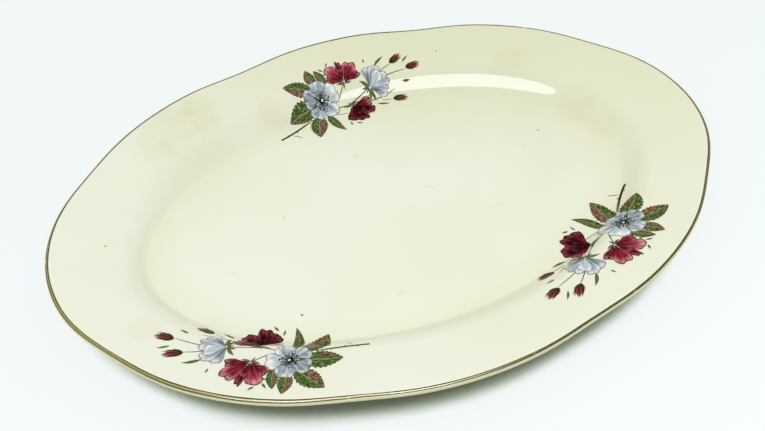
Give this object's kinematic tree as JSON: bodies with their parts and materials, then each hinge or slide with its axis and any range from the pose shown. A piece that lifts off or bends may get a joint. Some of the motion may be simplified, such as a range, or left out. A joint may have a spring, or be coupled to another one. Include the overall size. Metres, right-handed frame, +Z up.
{
  "type": "oval serving platter",
  "caption": "Shallow oval earthenware platter with a lobed sloping rim, flat well, gilt lip line and printed flower sprays.",
  "frame": {"origin": "centre of the oval, on the plane that the foot ring stands on", "axes": "+X along the long axis of the oval, +Y across it towards the back spray, +Z up"},
  "size_m": [0.3558, 0.2538, 0.0291],
  "materials": {
    "cream_glaze": "glossy cream lead glaze with a faint warm tint and light wear",
    "gilt_line": "burnished fired gold, a little worn",
    "print_brown": "printed enamel under gloss",
    "print_green": "printed enamel under gloss",
    "print_crimson": "printed enamel under gloss",
    "print_blue": "printed enamel under gloss",
    "print_dark": "printed enamel under gloss"
  },
  "bodies": {
    "root": {"platter_body": "cream_glaze", "gilt_lip_line": "gilt_line", "back_spray_twigs": "print_brown", "back_spray_leaves": "print_green", "back_spray_crimson": "print_crimson", "back_spray_blue": "print_blue", "back_spray_hearts": "print_dark", "right_spray_twigs": "print_brown", "right_spray_leaves": "print_green", "right_spray_crimson": "print_crimson", "right_spray_blue": "print_blue", "right_spray_hearts": "print_dark", "front_spray_twigs": "print_brown", "front_spray_leaves": "print_green", "front_spray_crimson": "print_crimson", "front_spray_blue": "print_blue", "front_spray_hearts": "print_dark"}
  },
  "joints": []
}
